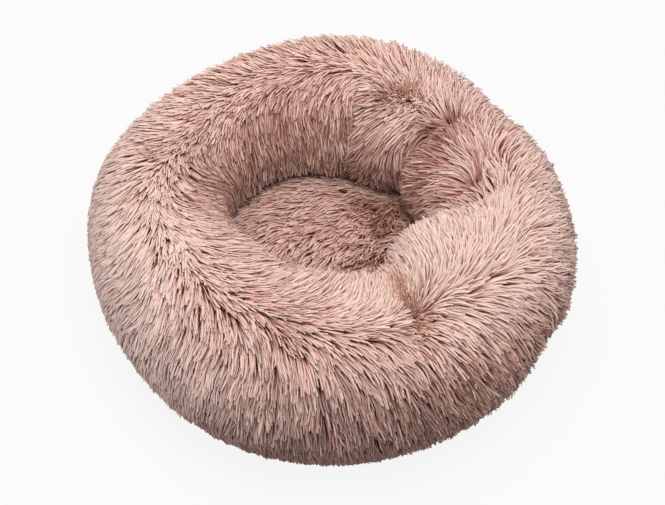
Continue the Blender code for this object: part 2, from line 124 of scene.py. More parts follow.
# Locks in each piece. The cushion's are laid over a square, and its round edge trims them
OUTER_LOCKS = 6600
INNER_LOCKS = 6000
CUSHION_SQUARE_LOCKS = 8890
FIRST_SECTOR = -45.0
OUTER_SECTORS = ("right", "back", "left", "front_left", "front_right")
INNER_SECTORS = ("right", "back", "left", "front")

# How the fur is combed round the ring. A turn of 0 is down the outside, 90 along the ring towards
# a greater azimuth and 180 down into the nest. Each station is an azimuth, the turn low on the
# outside, the sections where the comb has turned by 45, 90 and 135 degrees, and the turn deep in
# the nest
COMB_STATIONS = (
    (-170, -14, 72, 90, 106, 200),
    (-152, -10, 71, 94, 114, 178),
    (-138, 6, 67, 96, 118, 165),
    (-120, 0, 77, 99, 126, 165),
    (-104, 2, 82, 102, 124, 165),
    (-88, 10, 73, 98, 116, 168),
    (-74, 14, 74, 88, 97, 165),
    (-62, 17, 84, 96, 104, 162),
    (-50, 18, 83, 97, 115, 162),
    (-38, 11, 68, 88, 110, 150),
    (-24, 32, 60, 90, 124, 150),
    (-10, 37, 66, 96, 118, 150),
    (4, 38, 72, 95, 116, 145),
    (14, 37, 74, 99, 126, 135),
    (25, 22, 92, 101, 135, 135),
    (36, 16, 92, 112, 138, 150),
    (50, 18, 84, 100, 120, 168),
    (64, 20, 82, 100, 124, 164),
    (76, 14, 78, 98, 116, 156),
    (86, 14, 72, 91, 104, 180),
    (98, 14, 78, 91, 105, 184),
    (110, 8, 80, 93, 112, 184),
    (125, 0, 78, 95, 120, 180),
    (140, -6, 80, 101, 134, 168),
    (154, -12, 86, 107, 132, 170),
    (166, -8, 84, 104, 116, 200),
)
COMB_EASE = 32.0
FOLD_PULL = 0.85
# Where the fur parts on all sides like a star: azimuth, section, reach; its middle is a little
# different for each lock
STAR = (59.5, 105.0, 0.027)
# The comb on the nest cushion: its heading by y, and where it parts on all sides
CUSHION_HEADINGS = ((-0.01, -115.0), (0.02, -130.0), (0.05, -150.0))
CUSHION_STAR = (0.046, 0.050, 0.020)
STAR_BLUR = 0.0066
# Fine tan middles of the whorls: azimuth, section, reach, how much paler and higher they are
WHORLS = (
    (-67, 81, 0.010, -0.35, -0.003),
    (-65, 93, 0.013, -0.40, -0.003),
    (-63, 106, 0.013, -0.35, -0.003),
    (-60, 119, 0.010, -0.20, -0.002),
    (64, 112, 0.008, 0.15, 0.001),
    (60, 105, 0.009, 0.15, 0.001),
    (56, 96, 0.008, 0.15, 0.001),
    (162, 90, 0.007, 0, -0.002),
)
WHORL_EXTRA_LOCKS = 300
# Folds, where the fur dips and is painted browner, as painted shade in the fold: reach, then the
# azimuth and section of each point
FOLDS = (
    (0.009, (31, 98), (36, 112), (37, 126), (39, 146), (43, 180), (48, 205)),
    (0.008, (12, 96), (3, 106), (1, 118), (1, 134), (-2, 155)),
    (0.006, (79, 112), (76, 149), (78, 198), (80, 214)),
    (0.012, (-30, 22), (-32, 8)),
)
# Edges of the lobes, where the fur stands up over a fold and is painted paler, as painted light on
# the raised edge
LOBE_EDGES = (
    (0.010, (-48, 131), (-32, 121), (-16, 111), (-9, 91)),
    (0.009, (46, 108), (49, 124), (52, 145)),
)
# Hollows of the cushion's fur, where it dips and is painted browner, partly its own brown and partly
# painted shade: reach, then the x and y of each point
CUSHION_HOLLOWS = (
    (0.007, (0.012, -0.012), (0.030, -0.008), (0.047, -0.003), (0.080, 0.011)),
    (0.012, (0.036, 0.066), (0.050, 0.055), (0.062, 0.036)),
)

# Where the ring's fur is painted paler or browner, partly the fur's own tone and partly painted
# light and shade on the walls, folds and lobes: azimuth, its spread, section, its spread, change
TONE_AND_PAINTED_LIGHT_PATCHES = (
    (-33, 34, 65, 70, 0.34),
    (174, 44, 65, 70, 0.54),
    (-75, 60, 140, 50, 0.16),
    (18, 20, 135, 40, -0.14),
    (170, 38, 143, 42, -0.58),
    (110, 40, 152, 34, -0.08),
    (98, 42, 122, 27, -0.36),
    (50, 18, 142, 22, -0.24),
    (30, 16, 113, 22, -0.44),
    (176, 40, 108, 22, -0.28),
    (-64, 26, 46, 28, -0.34),
    (-98, 26, 62, 26, -0.14),
    (-116, 24, 86, 24, -0.24),
    (-148, 40, 16, 42, 0.66),
    (-39, 22, 40, 26, -0.42),
    (58, 18, 100, 24, 0.26),
)
# Where peach locks stand among the rose ones, and where pale and brown locks mix most
PEACH_PATCHES = (
    (100, 60, 95, 45, 0.60),
    (10, 30, 140, 40, 0.60),
    (-116, 26, 92, 22, 0.36),
)
MIXED_PATCH = (105, 60, 165, 45)
# Bands of the section darkened as painted shade, down into the nest, at its crease and low on the
# outside, and where grey locks stand as painted shade: start, end, change
PAINTED_SHADE_BANDS = ((98, 135, -0.20), (160, 205, -0.14), (208, 222, -0.70), (74, -12, -0.47))
PAINTED_SHADE_GREY_BANDS = ((92, -10, 1.15), (150, 200, 0.60), (203, 216, 1.00))
FOLD_PAINTED_SHADE = 0.60
LOBE_EDGE_PAINTED_LIGHT = 0.20
HOLLOW_BROWN_AND_SHADE = 0.75

# Colours of the locks' tips and roots, red, green and blue of 255: brown, middle and pale locks of
# the rose, the tan, the grey and the peach tone. The root colours also fill the underside of each
# lock as painted shade, and their brown at the roots is partly the fur's own and partly painted
# shade of the deep pile. The grey tone is painted shade, low outside, deep in the nest and at its
# crease.
TIP_TONES = (
    ((184, 141, 129), (228, 202, 192), (232, 214, 206)),
    ((146, 100, 83), (208, 167, 149), (226, 195, 180)),
    ((130, 99, 91), (202, 173, 165), (224, 205, 199)),
    ((152, 101, 87), (234, 196, 184), (240, 214, 203)),
)
ROOT_AND_SHADE_TONES = (
    ((118, 60, 48), (174, 108, 92), (212, 156, 141)),
    ((122, 64, 48), (168, 102, 80), (204, 146, 124)),
    ((50, 29, 26), (100, 61, 54), (146, 106, 98)),
    ((112, 51, 38), (178, 102, 82), (212, 150, 131)),
)
ROSE, TAN, PAINTED_SHADE_GREY, PEACH = range(4)
TONES = 4
TONE_COLUMNS = 16

# Cloth under the pile, and the fibre inside
BACKING_THICKNESS = 0.0016
STUFFING_LUMP = 0.0022
STUFFING_FLAT_HEIGHT = 0.0080
STUFFING_LONGEST_EDGE = 0.009

# The base, its binding and its grip dots
BASE_RADIUS = 0.2008
BASE_GAP = 0.0003
CLOTH_BOTTOM = 0.0016
CLOTH_TOP = 0.0052
CLOTH_EDGE = 0.0008
ZIP_SLOT_HALF = 0.0045
ZIP_SLOT_HALF_LENGTH = 0.129
# The binding's section: how far in from the base's edge, and how high
BINDING_WIDTH = 0.0085
BINDING_REACH = 0.0090
BINDING_SECTION = (
    (BINDING_WIDTH, CLOTH_BOTTOM - 0.0003), (0.0030, CLOTH_BOTTOM - 0.0004),
    (0.0010, CLOTH_BOTTOM + 0.0002), (0.0, CLOTH_BOTTOM + 0.0014),
    (0.0, CLOTH_TOP - 0.0012), (0.0016, CLOTH_TOP), (BINDING_WIDTH, CLOTH_TOP),
)
DOT_RADIUS = 0.0030
DOT_DOME = 0.0018
DOT_PITCH = 0.038
DOT_MARGIN = 0.008
DOT_ZIP_MARGIN = 0.004

# Stitches along the seam, and in rows beside the zip: distance from the slot, half length
STITCH_PITCH = 0.0042
STITCH_LENGTH = 0.0032
STITCH_HEIGHT = 0.0015
THREAD_RADIUS = 0.00042
SEAM_INSET = 0.0068
ZIP_STITCH_ROWS = ((0.0022, BASE_RADIUS - 0.0120), (0.0052, ZIP_SLOT_HALF_LENGTH))

# The cloth sewn over each end of the zip's tapes, and its two bar tacks
FACING_MIDDLE = 0.1220
FACING_HALF_LENGTH = 0.0080
FACING_HALF_WIDTH = 0.0075
FACING_BOTTOM = 0.0046
FACING_HALF_HEIGHT = 0.0004
FACING_EDGE = 0.0002
TACK_OFFSET = 0.0045
TACK_HALF_LENGTH = 0.0010
TACK_REACH = 0.0034
TACK_PITCH = 0.0009

# The base's materials after its cloth, in their order
BINDING, THREAD, RUBBER = 1, 2, 3

# The zip
TAPE_MIDDLE = 0.0058
TAPE_HALF_THICKNESS = 0.0003
TAPE_EDGE = 0.001525
TEETH_SOFT_EDGE = 0.00012
METAL_NODES = (
    "zip_top_stop_front", "zip_top_stop_rear", "zip_bottom_stop", "zip_slider", "zip_pull",
)

SHARP_ANGLE = math.radians(38.0)
SLACK = 0.00005
TINY = 0.000001

# Camera, fitted to the photograph's outline
VIEW_ELEVATION = 51.8
VIEW_DISTANCE = 1.6
VIEW_TARGET = (0.0026, -0.0075, 0.079)
PICTURE_WIDTH = 665
FOCAL_PIXELS = 1553
SENSOR_WIDTH = 36.0

# Studio: each lamp's name, place, size and power, then the world and the floor
LAMPS = (
    ("key", (0.3, -0.6, 2.3), 1.2, 18.5),
    ("top", (-0.4, 0.3, 2.4), 1.8, 14.5),
)
LAMP_AIM = Vector((0.0, 0.0, 0.08))
WORLD_COLOUR = (1.0, 0.97, 0.95, 1.0)
WORLD_STRENGTH = 0.78
FLOOR_COLOUR = (0.6, 0.6, 0.6, 1.0)
FLOOR_SHOWN_WHITE = 0.88


def climb(value, low, high):
    return np.clip((value - low) / (high - low), 0.0, 1.0)


def ramp(value, low, high):
    share = climb(value, low, high)
    return share * share * (3 - 2 * share)


def bell(offset, width):
    return np.exp(-((offset / width) ** 2))


def turn_between(angle, centre):
    return (angle - centre + 180.0) % 360.0 - 180.0


def around(azimuth, middle, spread):
    return bell(turn_between(azimuth, middle), spread)


def unit(vectors):
    return vectors / np.maximum(np.linalg.norm(vectors, axis=-1, keepdims=True), 1e-12)


def dot(a, b):
    return (a * b).sum(axis=-1, keepdims=True)


def lobed(points):
    """The turned bed's points once the ring has its lobes and folds."""
    x, y, z = points.T
    radius = np.maximum(np.hypot(x, y), 1e-6)
    fade = ramp(z, SEAT, SEAT + GROUND_FADE) * ramp(radius, NEST_FADE_START, NEST_FADE_END)
    azimuth = np.degrees(np.arctan2(y, x))
    section = np.degrees(np.arctan2(z - BELLY_HEIGHT, radius - CREST_RADIUS))
    swell = np.zeros_like(z)
    for middle, wide, level, deep, slant, share in SWELL_SHARES:
        rise = turn_between(section, level)
        aside = turn_between(azimuth, middle + slant * rise / 90.0)
        swell += share * bell(aside, wide) * bell(rise, deep)
    sway = sum(share * around(azimuth, middle, wide) for middle, wide, share in SWAY_SHARES)
    out = radius + fade * ((radius - CREST_RADIUS) * swell + CREST_RADIUS * sway)
    up = z + fade * (z - BELLY_HEIGHT) * swell
    return np.stack((x * out / radius, y * out / radius, up), axis=1)


def ring_section(section):
    """Radius and height of the pile's mean surface on the ring's section, before its lobes."""
    across, up = np.cos(np.radians(section)), np.sin(np.radians(section))
    rise = np.where(section > 0.0, BED_HEIGHT - BELLY_HEIGHT, BELLY_HEIGHT)
    outer = CREST_RADIUS + (OUTER_RADIUS - CREST_RADIUS) * across, BELLY_HEIGHT + rise * up
    reach, top = CREST_RADIUS - NEST_MOUTH_RADIUS, BED_HEIGHT - NEST_MOUTH_HEIGHT
    inner = CREST_RADIUS + reach * across, NEST_MOUTH_HEIGHT + top * up
    reach, drop = TUCK_RADIUS - NEST_MOUTH_RADIUS, NEST_MOUTH_HEIGHT - TUCK_HEIGHT
    tuck = TUCK_RADIUS + reach * across, NEST_MOUTH_HEIGHT + drop * up
    choice = [section <= 90.0, section <= 180.0]
    return tuple(np.select(choice, [outer[i], inner[i]], tuck[i]) for i in (0, 1))


def ring_skin(azimuth, section):
    radius, height = ring_section(section)
    turn = np.radians(azimuth)
    return lobed(np.stack((radius * np.cos(turn), radius * np.sin(turn), height), axis=1))


def cushion_skin(x, y):
    share = np.clip(np.hypot(x, y) / CUSHION_RADIUS, 0.0, 1.0) ** (1 / CUSHION_ROUNDNESS_SHARE)
    up = np.sqrt(1.0 - share**2) ** CUSHION_ROUNDNESS_SHARE
    return lobed(np.stack((x, y, CUSHION_RIM_HEIGHT + CUSHION_CROWN * up), axis=1))


def tangents(skin, u, v, step):
    """Points of a skin, their two directions and their outward normals."""
    at = skin(u, v)
    along_u, along_v = (skin(u + step, v) - at) / step, (skin(u, v + step) - at) / step
    return at, along_u, along_v, unit(np.cross(along_u, along_v))


def spread_roots(skin, u_range, v_range, cells, count, draw):
    """Roots laid evenly by area: each cell of the skin gets its share, placed at random in it."""
    u = np.linspace(*u_range, cells[0] + 1)
    v = np.linspace(*v_range, cells[1] + 1)
    grid_u, grid_v = (g.ravel() for g in np.meshgrid(u[:-1], v[:-1], indexing="ij"))
    wide, high = u[1] - u[0], v[1] - v[0]
    at = skin(grid_u + wide / 2, grid_v + high / 2)
    across = skin(grid_u + wide, grid_v + high / 2) - at
    along = skin(grid_u + wide / 2, grid_v + high) - at
    area = np.linalg.norm(np.cross(across, along), axis=1)
    total = np.cumsum(area)
    marks = (np.arange(count) + draw.random(count)) * total[-1] / count
    cell = np.minimum(np.searchsorted(total, marks), len(area) - 1)
    return grid_u[cell] + wide * draw.random(count), grid_v[cell] + high * draw.random(count)


def wander(points, wavelength, seed):
    """A smooth random number for each point, between about -1 and 1."""
    draw = np.random.default_rng(seed)
    total = np.zeros(len(points))
    for _ in range(7):
        wave = unit(draw.normal(size=3)) * math.tau / wavelength * draw.uniform(0.6, 1.5)
        total += np.sin(points @ wave + draw.uniform(0, math.tau))
    return total / math.sqrt(7)


def comb_turn(azimuth, section):
    """The comb's turn at points of the ring, from the stations on either side."""
    stations, *columns = np.array(COMB_STATIONS, dtype=float).T
    low, first, middle, last, deep = (
        np.interp(azimuth, stations, column, period=360.0) for column in columns
    )
    turn = low + (45.0 - low) * climb(section, first - COMB_EASE, first)
    turn += 45.0 * climb(section, first, middle) + 45.0 * climb(section, middle, last)
    return np.radians(turn + (deep - 135.0) * climb(section, last, last + COMB_EASE))[:, None]


def parted(way, offset, reach):
    """The comb's way, turned outwards on all sides near the middle of a star."""
    share = bell(np.linalg.norm(offset, axis=1), reach)[:, None]
    return way * (1 - share) + unit(offset) * share


def laid(way, normal):
    """A way pressed flat onto the skin."""
    return way - normal * dot(way, normal)


def comb_ring(at, azimuth, section, along_v, normal, blur):
    """The way the fur lies at points of the ring."""
    turn, up_section = comb_turn(azimuth, section), unit(along_v)
    way = np.cross(up_section, normal) * np.sin(turn) - up_section * np.cos(turn)
    offset = at - ring_skin(np.array(STAR[:1]), np.array(STAR[1:2])) + blur
    return unit(laid(parted(way, offset, STAR[2]) + gather(at, normal), normal))


def gather(at, normal):
    """How the folds draw the fur in from both sides."""
    pull = np.zeros_like(at)
    rows = np.arange(len(at))
    for reach, *corners in FOLDS:
        offset = track_on(ring_skin, corners)[None] - at[:, None]
        gaps = np.linalg.norm(offset, axis=2)
        nearest = gaps.argmin(axis=1)
        gap = gaps[rows, nearest][:, None]
        share = ramp(gap, 0.0, 0.6 * reach) * bell(gap, 1.8 * reach)
        pull += FOLD_PULL * share * unit(offset[rows, nearest])
    return laid(pull, normal)


def comb_cushion(at, normal, blur):
    """The way the fur lies on the nest cushion."""
    turn = np.radians(np.interp(at[:, 1], *np.array(CUSHION_HEADINGS).T))
    way = np.stack((np.cos(turn), np.sin(turn), np.zeros_like(turn)), axis=1)
    offset = at - np.array((*CUSHION_STAR[:2], 0.0)) + blur
    offset[:, 2] = 0.0
    return unit(laid(parted(way, offset, CUSHION_STAR[2]), normal))


def slide(move, along_u, along_v):
    """How far u and v go when a point moves over a skin."""
    uu, vv, uv = dot(along_u, along_u), dot(along_v, along_v), dot(along_u, along_v)
    mu, mv = dot(move, along_u), dot(move, along_v)
    down = uu * vv - uv * uv
    return ((mu * vv - mv * uv) / down)[:, 0], ((mv * uu - mu * uv) / down)[:, 0]


def track_on(skin, corners):
    """Points close together along a line drawn on a skin."""
    u, v = np.array(corners, dtype=float).T
    steps = np.linspace(0, len(u) - 1, 10 * len(u))
    marks = np.arange(len(u))
    return skin(np.interp(steps, marks, u), np.interp(steps, marks, v))


def nearness(points, tracks):
    """How near points are to any of some tracks, each with its reach, from 0 to 1."""
    near = np.zeros(len(points))
    for reach, track in tracks:
        gaps = np.linalg.norm(points[:, None] - track[None], axis=2).min(axis=1)
        near = np.maximum(near, bell(gaps, reach))
    return near


def near_whorls(points, whorls=WHORLS):
    """How near points are to the middles of whorls."""
    return nearness(points, [
        (reach, ring_skin(np.array([azimuth]), np.array([section])))
        for azimuth, section, reach, *_ in whorls
    ])


def near_lines(points, lines, skin=ring_skin):
    """How near points are to lines drawn on a skin."""
    return nearness(points, [(reach, track_on(skin, corners)) for reach, *corners in lines])


def whorl_change(points, column):
    """What the whorls change at points: column 3 is their shade and column 4 their height."""
    return sum(whorl[column] * near_whorls(points, (whorl,)) for whorl in WHORLS)


def lift(at, normal, rise, level, bow):
    """Where locks are at a level: they leave the cloth steeply and then lie down along it."""
    height = -ROOT_DEPTH + (rise + ROOT_DEPTH) * (1 - (1 - level / LEVELS) ** bow)
    return at + normal * height[:, None]


def grow_ring(azimuth, section, draw):
    """Centre lines of locks on the ring, with their ways across and up: locks, levels, x y z."""
    count, root_section = len(azimuth), section
    near_crease = ramp(section, 205.0, 250.0)
    root = ring_skin(azimuth, section)
    whorled = near_whorls(root)
    stand = 0.06 + 0.10 * bell(section - 95.0, 18.0) + 0.30 * whorled
    length = LOCK_LENGTH * draw.uniform(*LENGTH_RANGE, count)
    length = length * (1 - 0.45 * near_crease) * (1 - 0.55 * whorled)
    rise = TIP_RISE + TIP_RISE_SPREAD * draw.normal(size=count) + 0.004 * stand
    rise = np.clip(rise + whorl_change(root, 4), 0.0, HIGHEST_TIP) * (1 - 0.8 * near_crease)
    rise = rise * (1 - 0.55 * ramp(section, 30.0, -25.0)) * (1 + 0.3 * bell(azimuth - 70.0, 50.0))
    rise = rise * (1 - 0.7 * around(azimuth, -172.0, 22.0))
    rise = rise - FOLD_DIP * near_lines(root, FOLDS) + LOBE_EDGE_RISE * near_lines(root, LOBE_EDGES)
    reach = length * (1 - 0.55 * stand - 0.55 * whorled)
    lean = draw.normal(scale=0.10, size=count) + 0.8 * stand * draw.normal(size=count)
    curl = draw.normal(scale=0.04, size=count)
    blur = draw.normal(scale=STAR_BLUR, size=(count, 3))
    lowest_tip = np.where(root_section > NEST_TUCK_SECTION, LOWEST_TIP_SECTION, NEST_TIP_SECTION)
    hang = np.zeros(count)
    levels = []
    for level in range(LEVELS + 1):
        held = np.clip(section, np.minimum(root_section, SKIRT_SECTION), lowest_tip)
        at, along_u, along_v, normal = tangents(ring_skin, azimuth, held, 0.05)
        point = lift(at, normal, rise, level, 2.0)
        point[:, 2] -= hang
        way = comb_ring(at, azimuth, held, along_v, normal, blur)
        side = np.cross(normal, way)
        levels.append((point, side, normal))
        bend = lean + curl * level + 0.10 * wander(at, 0.03, 31)
        move = unit(way + side * bend[:, None]) * (reach * LEVEL_STRIDES[level])[:, None]
        turn, step = slide(move, along_u, along_v)
        over = np.maximum(SKIRT_SECTION - (section + step), 0.0) * (root_section < 90.0)
        hang = hang + np.minimum(over, np.abs(step)) * np.linalg.norm(along_v, axis=1)
        azimuth, section = azimuth + turn, section + step
    return [np.stack(rows, 1) for rows in zip(*levels)]


def grow_cushion(x, y, draw):
    """The same for locks on the nest cushion."""
    count = len(x)
    edge = ramp(np.hypot(x, y), 0.080, 0.118)
    length = LOCK_LENGTH * 0.72 * draw.uniform(*CUSHION_LENGTH_RANGE, count)
    rise = CUSHION_TIP_RISE + TIP_RISE_SPREAD * draw.normal(size=count)
    rise = np.clip(rise, 0.0, CUSHION_HIGHEST_TIP) * (1 - 0.9 * edge)
    hollow = near_lines(cushion_skin(x, y), CUSHION_HOLLOWS, cushion_skin)
    crinkle = 0.3 + 0.6 * ramp(x, 0.0, 0.05) + 0.8 * hollow
    lean, curl = (crinkle * draw.normal(scale=s, size=count) for s in (0.30, 0.16))
    star = bell(np.hypot(x - CUSHION_STAR[0], y - CUSHION_STAR[1]), 0.5 * CUSHION_STAR[2])
    blur = draw.normal(scale=1.4 * STAR_BLUR, size=(count, 3))
    rise = rise - HOLLOW_DIP * hollow
    reach = length * (1 - 0.6 * star)
    levels = []
    for level in range(LEVELS + 1):
        hold = np.minimum(1.0, 0.955 * CUSHION_RADIUS / np.maximum(np.hypot(x, y), TINY))
        x, y = x * hold, y * hold
        at, _, _, normal = tangents(cushion_skin, x, y, 0.0002)
        way = comb_cushion(at, normal, blur)
        side = np.cross(normal, way)
        levels.append((lift(at, normal, rise, level, 1.7), side, normal))
        bend = lean + curl * level + 0.15 * wander(at, 0.02, 51)
        way = unit(way + side * bend[:, None]) * (reach * LEVEL_STRIDES[level])[:, None]
        x, y = x + way[:, 0], y + way[:, 1]
    return [np.stack(rows, 1) for rows in zip(*levels)]


def clump(lines, draw):
    """Draws the tips of neighbouring locks together, so that they part into tufts."""
    roots = lines[:, 1]
    picked = draw.permutation(len(roots))[: len(roots) // TUFT_LOCKS]
    tree = KDTree(len(picked))
    for index, lock in enumerate(picked):
        tree.insert(roots[lock], index)
    tree.balance()
    leader = np.array([picked[tree.find(root)[1]] for root in roots])
    pull = draw.uniform(*TUFT_PULL, len(roots))[:, None, None]
    share = (np.arange(LEVELS + 1) / LEVELS)[None, :, None] ** 1.4
    return lines + (lines[leader] - lines) * pull * share


def settle(lines):
    """Keeps every lock off the floor: what would sink splays outwards instead."""
    low = np.maximum(FLOOR_CLEARANCE - lines[:, :, 2], 0.0)
    out = unit(np.concatenate((lines[:, :, :2], np.zeros((*low.shape, 1))), axis=2))
    lines = lines + out * (0.10 * low)[:, :, None]
    lines[:, :, 2] = np.maximum(lines[:, :, 2], FLOOR_CLEARANCE)
    return lines


def lock_shape():
    """One lock as a three-sided cone with a ring at each level: where its corners go, its faces and
    how far round the cone each corner of a face is."""
    bm = bmesh.new()
    bmesh.ops.create_cone(bm, cap_ends=True, segments=3, radius1=1.0, radius2=0.0, depth=1.0)
    bmesh.ops.remove_doubles(bm, verts=bm.verts, dist=0.0001)
    for level in range(1, LEVELS):
        bisect(bm, (0, 0, level / LEVELS - 0.5), (0, 0, 1))
    bmesh.ops.triangulate(bm, faces=bm.faces)
    bmesh.ops.recalc_face_normals(bm, faces=bm.faces)
    bm.verts.index_update()
    place = np.array([v.co for v in bm.verts])
    faces = np.array([[v.index for v in f.verts] for f in bm.faces])
    bm.free()
    level = np.rint((place[:, 2] + 0.5) * LEVELS).astype(int)
    around_axis = unit(place[:, :2]) * (level < LEVELS)[:, None]
    turn = np.arctan2(place[:, 0], place[:, 1])[faces] / math.tau % 1.0
    turn = np.where(turn > 0.999, 0.0, turn)
    tip = (level == LEVELS)[faces]
    first = turn[np.arange(len(faces)), np.argmin(tip, axis=1)][:, None]
    turn = np.where(turn - first > 0.5, turn - 1.0, np.where(first - turn > 0.5, turn + 1.0, turn))
    rest = np.where(tip, 0.0, turn).sum(axis=1) / np.maximum((~tip).sum(axis=1), 1)
    turn = np.where(tip, rest[:, None], turn)
    return level, around_axis, faces, np.clip(turn, 0.0, 1.0)


def bisect(bm, place, normal, **settings):
    """Cuts everything in a bmesh along a plane."""
    return bmesh.ops.bisect_plane(
        bm, geom=bm.verts[:] + bm.edges[:] + bm.faces[:], plane_co=place, plane_no=normal, **settings
    )


LOCK_LEVEL, LOCK_AROUND, LOCK_FACES, LOCK_TURN = lock_shape()
# Corners on the side of a lock that faces the cloth, where its edges are left sharp
LOCK_UNDER = (LOCK_AROUND[:, 1] < -0.1) | (LOCK_LEVEL == LEVELS)


def link_object(name, data):
    made = bpy.data.objects.new(name, data)
    bpy.context.scene.collection.objects.link(made)
    return made


def mesh_object(name, bm):
    """A smooth-shaded object made of a finished bmesh."""
    mesh = bpy.data.meshes.new(name)
    bm.to_mesh(mesh)
    bm.free()
    mesh.shade_smooth()
    return link_object(name, mesh)


def add_piece(made, materials, node):
    """Makes an object a piece of the bed that stands for a CAD node."""
    for material in materials:
        made.data.materials.append(material)
    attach(made, "bed")
    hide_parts(node)
    return made


def fur_mesh(name, lines, sides, ups, widths, tone_of, shade, roll):
    """A mesh of locks along the given lines. Its UV map holds tone, shade and the way along."""
    count, corners = len(lines), len(LOCK_LEVEL)
    profile = np.array(LEVEL_WIDTHS)[LOCK_LEVEL]
    cos, sin = np.cos(roll)[:, None, None], np.sin(roll)[:, None, None]
    across = sides * cos + ups * sin
    over = ups * cos - sides * sin
    spread = widths[:, None, None] * profile[None, :, None]
    verts = lines[:, LOCK_LEVEL] + spread * (
        across[:, LOCK_LEVEL] * LOCK_AROUND[None, :, :1]
        + LOCK_THICKNESS_SHARE * over[:, LOCK_LEVEL] * LOCK_AROUND[None, :, 1:]
    )
    verts[:, :, 2] = np.maximum(verts[:, :, 2], FLOOR_CLEARANCE / 2)
    faces = (LOCK_FACES[None] + (np.arange(count) * corners)[:, None, None]).reshape(-1, 3)
    column = np.clip((shade * TONE_COLUMNS).astype(int), 0, TONE_COLUMNS - 1)
    column = column + TONE_COLUMNS * tone_of
    turn = (column[:, None, None] + 0.1 + 0.8 * LOCK_TURN[None]) / (TONE_COLUMNS * TONES)
    along = np.broadcast_to((0.02 + 0.96 * LOCK_LEVEL / LEVELS)[LOCK_FACES], turn.shape)
    mesh = bpy.data.meshes.new(name)
    mesh.vertices.add(count * corners)
    mesh.vertices.foreach_set("co", verts.astype(np.float32).ravel())
    mesh.loops.add(faces.size)
    mesh.loops.foreach_set("vertex_index", faces.astype(np.int32).ravel())
    mesh.polygons.add(len(faces))
    mesh.polygons.foreach_set("loop_start", np.arange(0, faces.size, 3, dtype=np.int32))
    mesh.update(calc_edges=True)
    mesh.shade_smooth()
    ends = np.empty(2 * len(mesh.edges), dtype=np.int32)
    mesh.edges.foreach_get("vertices", ends)
    under = LOCK_UNDER[ends % corners].reshape(-1, 2).all(axis=1)
    mesh.attributes.new("sharp_edge", "BOOLEAN", "EDGE").data.foreach_set("value", under)
    layer = mesh.uv_layers.new(name="OFBake")
    layer.data.foreach_set("uv", np.stack((turn, along), -1).astype(np.float32).ravel())
    return link_object(name, mesh)


class Socket:
    """A shader value that takes Python's arithmetic: each operator adds its Math node."""

    def __init__(self, material, output):
        self.material, self.output = material, output

    def math(self, operation, *others):
        values = dict(enumerate((self, *others)))
        return self.material.node("ShaderNodeMath", {"operation": operation}, values)

    def __add__(self, other):
        return self.math("ADD", other)

    def __sub__(self, other):
        return self.math("SUBTRACT", other)

    def __rsub__(self, other):
        return (self * -1.0).math("ADD", other)

    def __mul__(self, other):
        return self.math("MULTIPLY", other)

    __radd__ = __add__
    __rmul__ = __mul__


class Material:
    """A new Principled material, and the one method that adds a node to it."""

    def __init__(self, name, **constants):
        self.data = bpy.data.materials.new(name)
        self.data.use_nodes = True
        self.tree = self.data.node_tree
        self.shader = self.tree.nodes["Principled BSDF"]
        for socket, value in constants.items():
            self.shader.inputs[socket.replace("_", " ")].default_value = value

    def node(self, kind, settings, inputs, output=0):
        made = self.tree.nodes.new(kind)
        for name, value in settings.items():
            if name == "stops":
                self.set_stops(made.color_ramp, value)
            else:
                setattr(made, name, value)
        for name, value in inputs.items():
            if isinstance(value, Socket):
                self.tree.links.new(value.output, made.inputs[name])
            else:
                made.inputs[name].default_value = value
        return Socket(self, made.outputs[output])

    @staticmethod
    def set_stops(colours, stops):
        while len(colours.elements) < len(stops):
            colours.elements.new(0.5)
        for element, (place, colour) in zip(colours.elements, stops):
            element.position, element.color = place, colour

    def feed(self, socket, value):
        self.tree.links.new(value.output, self.shader.inputs[socket])

    def place(self):
        """The point on the piece, in metres."""
        return self.node("ShaderNodeTexCoord", {}, {}, "Object")

    def parts(self, vector):
        """A vector's x, y and z."""
        split = self.node("ShaderNodeSeparateXYZ", {}, {0: vector}).output.node
        return [Socket(self, output) for output in split.outputs]

    def noise(self, place, scale, detail, output=0, **more):
        values = {"Vector": place, "Scale": scale, "Detail": detail, **more}
        return self.node("ShaderNodeTexNoise", {}, values, output)

    def climb(self, value, low, high):
        """0 where the value is low and 1 where it is high."""
        return self.node("ShaderNodeMapRange", {"clamp": True}, {0: value, 1: low, 2: high})

    def paint(self, share, first, second):
        """Feeds the base colour with the first colour where the share is 0, the second where 1."""
        colours = {0: share, 6: first, 7: second}
        self.feed("Base Color", self.node("ShaderNodeMix", {"data_type": "RGBA"}, colours, 2))

    def emboss(self, strength, distance, height):
        relief = {"Strength": strength, "Distance": distance, "Height": height}
        self.feed("Normal", self.node("ShaderNodeBump", {}, relief))


def tone(red, green, blue):
    """A colour given as the eye sees it, 0 to 255, as the shader's linear one."""
    parts = [v / 255 for v in (red, green, blue)]
    return (*(v / 12.92 if v <= 0.04045 else ((v + 0.055) / 1.055) ** 2.4 for v in parts), 1.0)


def dimmed(colour, share):
    return (*(min(1.0, share * part) for part in colour[:3]), 1.0)


def spaced_stops(tones):
    """Ramp stops for the tones side by side, each from its first colour to its last."""
    stops = []
    for index, (dark, middle, pale) in enumerate(tones):
        start, edge = index / TONES, 0.001
        stops += [(start + edge, tone(*dark)), (start + 0.5 / TONES, tone(*middle))]
        stops += [(start + 1 / TONES - edge, tone(*pale))]
    return stops


